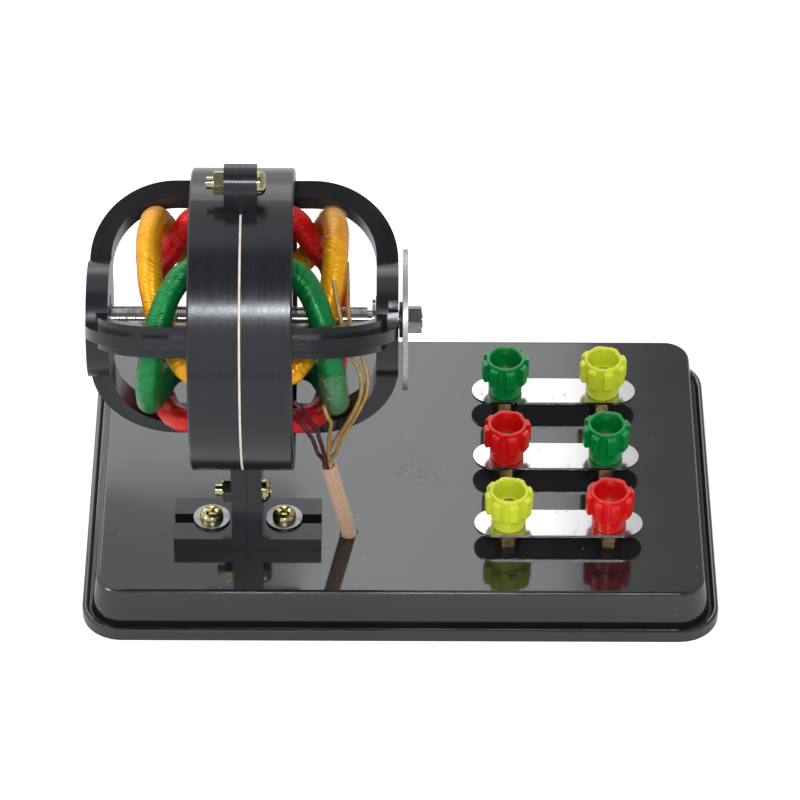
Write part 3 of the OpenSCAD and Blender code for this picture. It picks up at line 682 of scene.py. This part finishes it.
lead("lead_amber_back", 3, AMBER_LEAD, "lead_amber", [
    [33, 2.7, 21.5], [33.3, -4.7, 16], [33.7, -14, 13], [35.9, -21, 9], [38.5, -22, 1],
    [39.6, -20.4, -7], [39.3, -18.4, -15], [37.2, -15.4, -24.1], [34.2, -11.6, -34.3],
    [31.2, -7.2, -44.3], [29.4, -3.3, -53.6]])
lead("lead_amber_short", 2, AMBER_LEAD, "lead_amber", [
    [26, -31.9, -9.1], [26.9, -29.8, -15.2], [28, -25.5, -21.1], [27.6, -20.6, -29.5],
    [27.2, -15, -39.2], [26.9, -9.2, -48.5], [27.1, -5.6, -54]])


# ---- Woven sleeve ----
# What the ribs and threads add outside, and what they take from the wall
WEAVE_OUT = 0.00018
WEAVE_IN = 0.0001


def sleeve():
    """The straight tube of yarn that the leads go into."""
    steps = 60
    points = [SLEEVE_FOOT.lerp(SLEEVE_TOP, i / steps) for i in range(steps + 1)]
    weave = {"Thread Pitch": 0.0009, "Thread Height": 0.00006, "Turn Height": 0.0, "Slant": 0.0,
             "Swell": 0.0002, "Ribs": 20, "Rib Height": 0.0001, "Sides": 120, "Step": 0.00025}
    piece = wound("woven_sleeve", points, False, Radius=SLEEVE_R - WEAVE_OUT, Surface=braid(),
                  **weave)
    thicken(piece, SLEEVE_WALL - WEAVE_IN)
    keep(piece, "stand", "braid", "lead_sleeve")


sleeve()


# ---- Clear tape over two end turns ----
FILM = 0.00006
FILM_GAP = 0.00016
# Heights of the film's folds, of its creases and of its loose ends, and how far it slips along
FOLD = 0.0006
CREASE = 0.0003
LOOSE = 0.0016
SLIP = 0.0011
LOOSE_RINGS = 5


def film_lift(i, rings, a, seed):
    """How far the film stands off the coil at ring i and angle a."""
    spot = Vector((i * 0.22, math.cos(a) * 2.2, math.sin(a) * 2.2 + seed))
    end = max(0, 1 - i / LOOSE_RINGS, 1 - (rings - i) / LOOSE_RINGS)
    curl = max(0, noise.noise(Vector((end, math.cos(a), seed))))
    return (FILM_GAP + FOLD * max(0, noise.noise(spot)) + CREASE * abs(noise.noise(spot * 2.7))
            + LOOSE * end * curl)


def tape(name, bow, w0, w1, seed, surface):
    """A wrinkled film wound round a right end turn, from angle w0 to w1."""
    rings, sides = 60, 48
    work = bmesh.new()
    grid = []
    for i in range(rings + 1):
        w = w0 + (w1 - w0) * i / rings
        centre = coil_point(bow, w, 1)
        ahead = (coil_point(bow, w + 1, 1) - coil_point(bow, w - 1, 1)).normalized()
        out = Vector((0, centre.y - MOTOR.y, centre.z - MOTOR.z))
        out = (out - out.dot(ahead) * ahead).normalized()
        side = ahead.cross(out)
        ring = []
        for k in range(sides):
            a = 2 * math.pi * k / sides
            slip = SLIP * noise.noise(Vector((math.cos(a) * 1.5, math.sin(a) * 1.5, seed + 9)))
            radius = COIL_THICK + film_lift(i, rings, a, seed)
            place = centre + radius * (math.cos(a) * out + math.sin(a) * side) + slip * ahead
            ring.append(work.verts.new(place))
        grid.append(ring)
    for low, high in zip(grid, grid[1:]):
        for k in range(sides):
            work.faces.new((low[k], low[(k + 1) % sides], high[(k + 1) % sides], high[k]))
    for face in work.faces:
        face.smooth = True
    mesh = bpy.data.meshes.new(name)
    work.to_mesh(mesh)
    work.free()
    outwards(mesh)
    mesh.materials.append(surface)
    piece = placed(name, mesh)
    thicken(piece, FILM)
    keep(piece, "stand", "lead_amber")


AMBER_FILM = film("amber_film", (0.6, 0.26, 0.02), (0.8, 0.5, 0.16), 0.16, 0.42)
CLEAR_FILM = film("clear_film", (0.26, 0.3, 0.23), (0.5, 0.53, 0.44), 0.12, 0.5)
tape("tape_yellow", YELLOW_BOW, 88, 146, 2.0, AMBER_FILM)
tape("tape_green", GREEN_BOW, 60, 111, 7.0, CLEAR_FILM)


# ---- Light, floor and background ----
# Level of the surround's light, of the glow on the floor, and where reflections of it are dim:
# direction, where the dimming begins and ends, and its share
WORLD = 0.62
GLOW = 0.5
DIM_ABOVE = ((0, -0.34, 0.94), 0.86, 0.95, 0.75)
DIM_RIGHT = ((1, 0, 0), 0, 0.07, 0.5)


def studio():
    """A white surround, dimmer in reflections above the camera and at the right."""
    world = bpy.data.worlds.new("studio")
    bpy.context.scene.world = world
    world.use_nodes = True
    tree = world.node_tree
    maths = partial(calculated, tree)
    background = tree.nodes["Background"]
    background.inputs["Color"].default_value = (1, 1, 1, 1)
    path = tree.nodes.new("ShaderNodeLightPath")
    glossy = path.outputs["Is Glossy Ray"]
    where = tree.nodes.new("ShaderNodeTexCoord")

    def along(direction, low, high, share):
        """1, falling by share as the ray's part along direction goes from low to high."""
        dot = tree.nodes.new("ShaderNodeVectorMath")
        dot.operation = "DOT_PRODUCT"
        tree.links.new(where.outputs["Generated"], dot.inputs[0])
        dot.inputs[1].default_value = direction
        made = tree.nodes.new("ShaderNodeMapRange")
        made.interpolation_type = "SMOOTHSTEP"
        limits = {"From Min": low, "From Max": high, "To Min": 1, "To Max": 1 - share}
        for name, value in limits.items():
            made.inputs[name].default_value = value
        tree.links.new(dot.outputs["Value"], made.inputs["Value"])
        return made.outputs["Result"]

    shine = maths("MULTIPLY", along(*DIM_ABOVE), along(*DIM_RIGHT))
    seen = maths("MAXIMUM", path.outputs["Is Camera Ray"], path.outputs["Is Transmission Ray"])
    shown = maths("MAXIMUM", seen, maths("MULTIPLY", glossy, shine))
    plain = maths("MULTIPLY", WORLD, maths("SUBTRACT", 1, glossy))
    tree.links.new(maths("MAXIMUM", shown, plain), background.inputs["Strength"])


def lamp(name, place, aim, width, depth, power):
    """An area lamp at place, turned towards aim."""
    data = bpy.data.lights.new(name, "AREA")
    data.shape = "RECTANGLE"
    data.size, data.size_y, data.energy = width, depth, power
    made = placed(name, data)
    made.location = place
    made.rotation_euler = (Vector(aim) - Vector(place)).to_track_quat("-Z", "Y").to_euler()


def floor():
    """A wide white floor that keeps the motor's shadow."""
    reach = 6
    corners = [(-reach, -reach, 0), (reach, -reach, 0), (reach, reach, 0), (-reach, reach, 0)]
    mesh = bpy.data.meshes.new("floor")
    mesh.from_pydata(corners, [], [(0, 1, 2, 3)])
    finish = Finish("floor", Roughness=0.9, Base_Color=(0.9, 0.9, 0.9, 1),
                    Emission_Color=(1, 1, 1, 1))
    seen = finish.node("ShaderNodeLightPath").outputs["Is Camera Ray"]
    finish.drive("Emission Strength", finish.maths("MULTIPLY", seen, GLOW))
    mesh.materials.append(finish.material)
    placed("floor", mesh)


studio()
lamp("key", (0.06, -1.06, 1.2), (-0.02, 0, 0.08), 0.36, 0.08, 7.5)
lamp("backdrop_left", (-0.45, 1.0, 0.7), (-0.45, 0, 0.7), 0.78, 0.46, 1.8)
lamp("backdrop_right", (0.03, 1.0, 0.75), (0.03, 0, 0.75), 0.18, 0.66, 0.6)
lamp("left", (-1.1, -0.5, 1.0), (0, 0, 0.05), 0.5, 0.5, 5)
floor()
bpy.context.scene.view_settings.view_transform = "Standard"
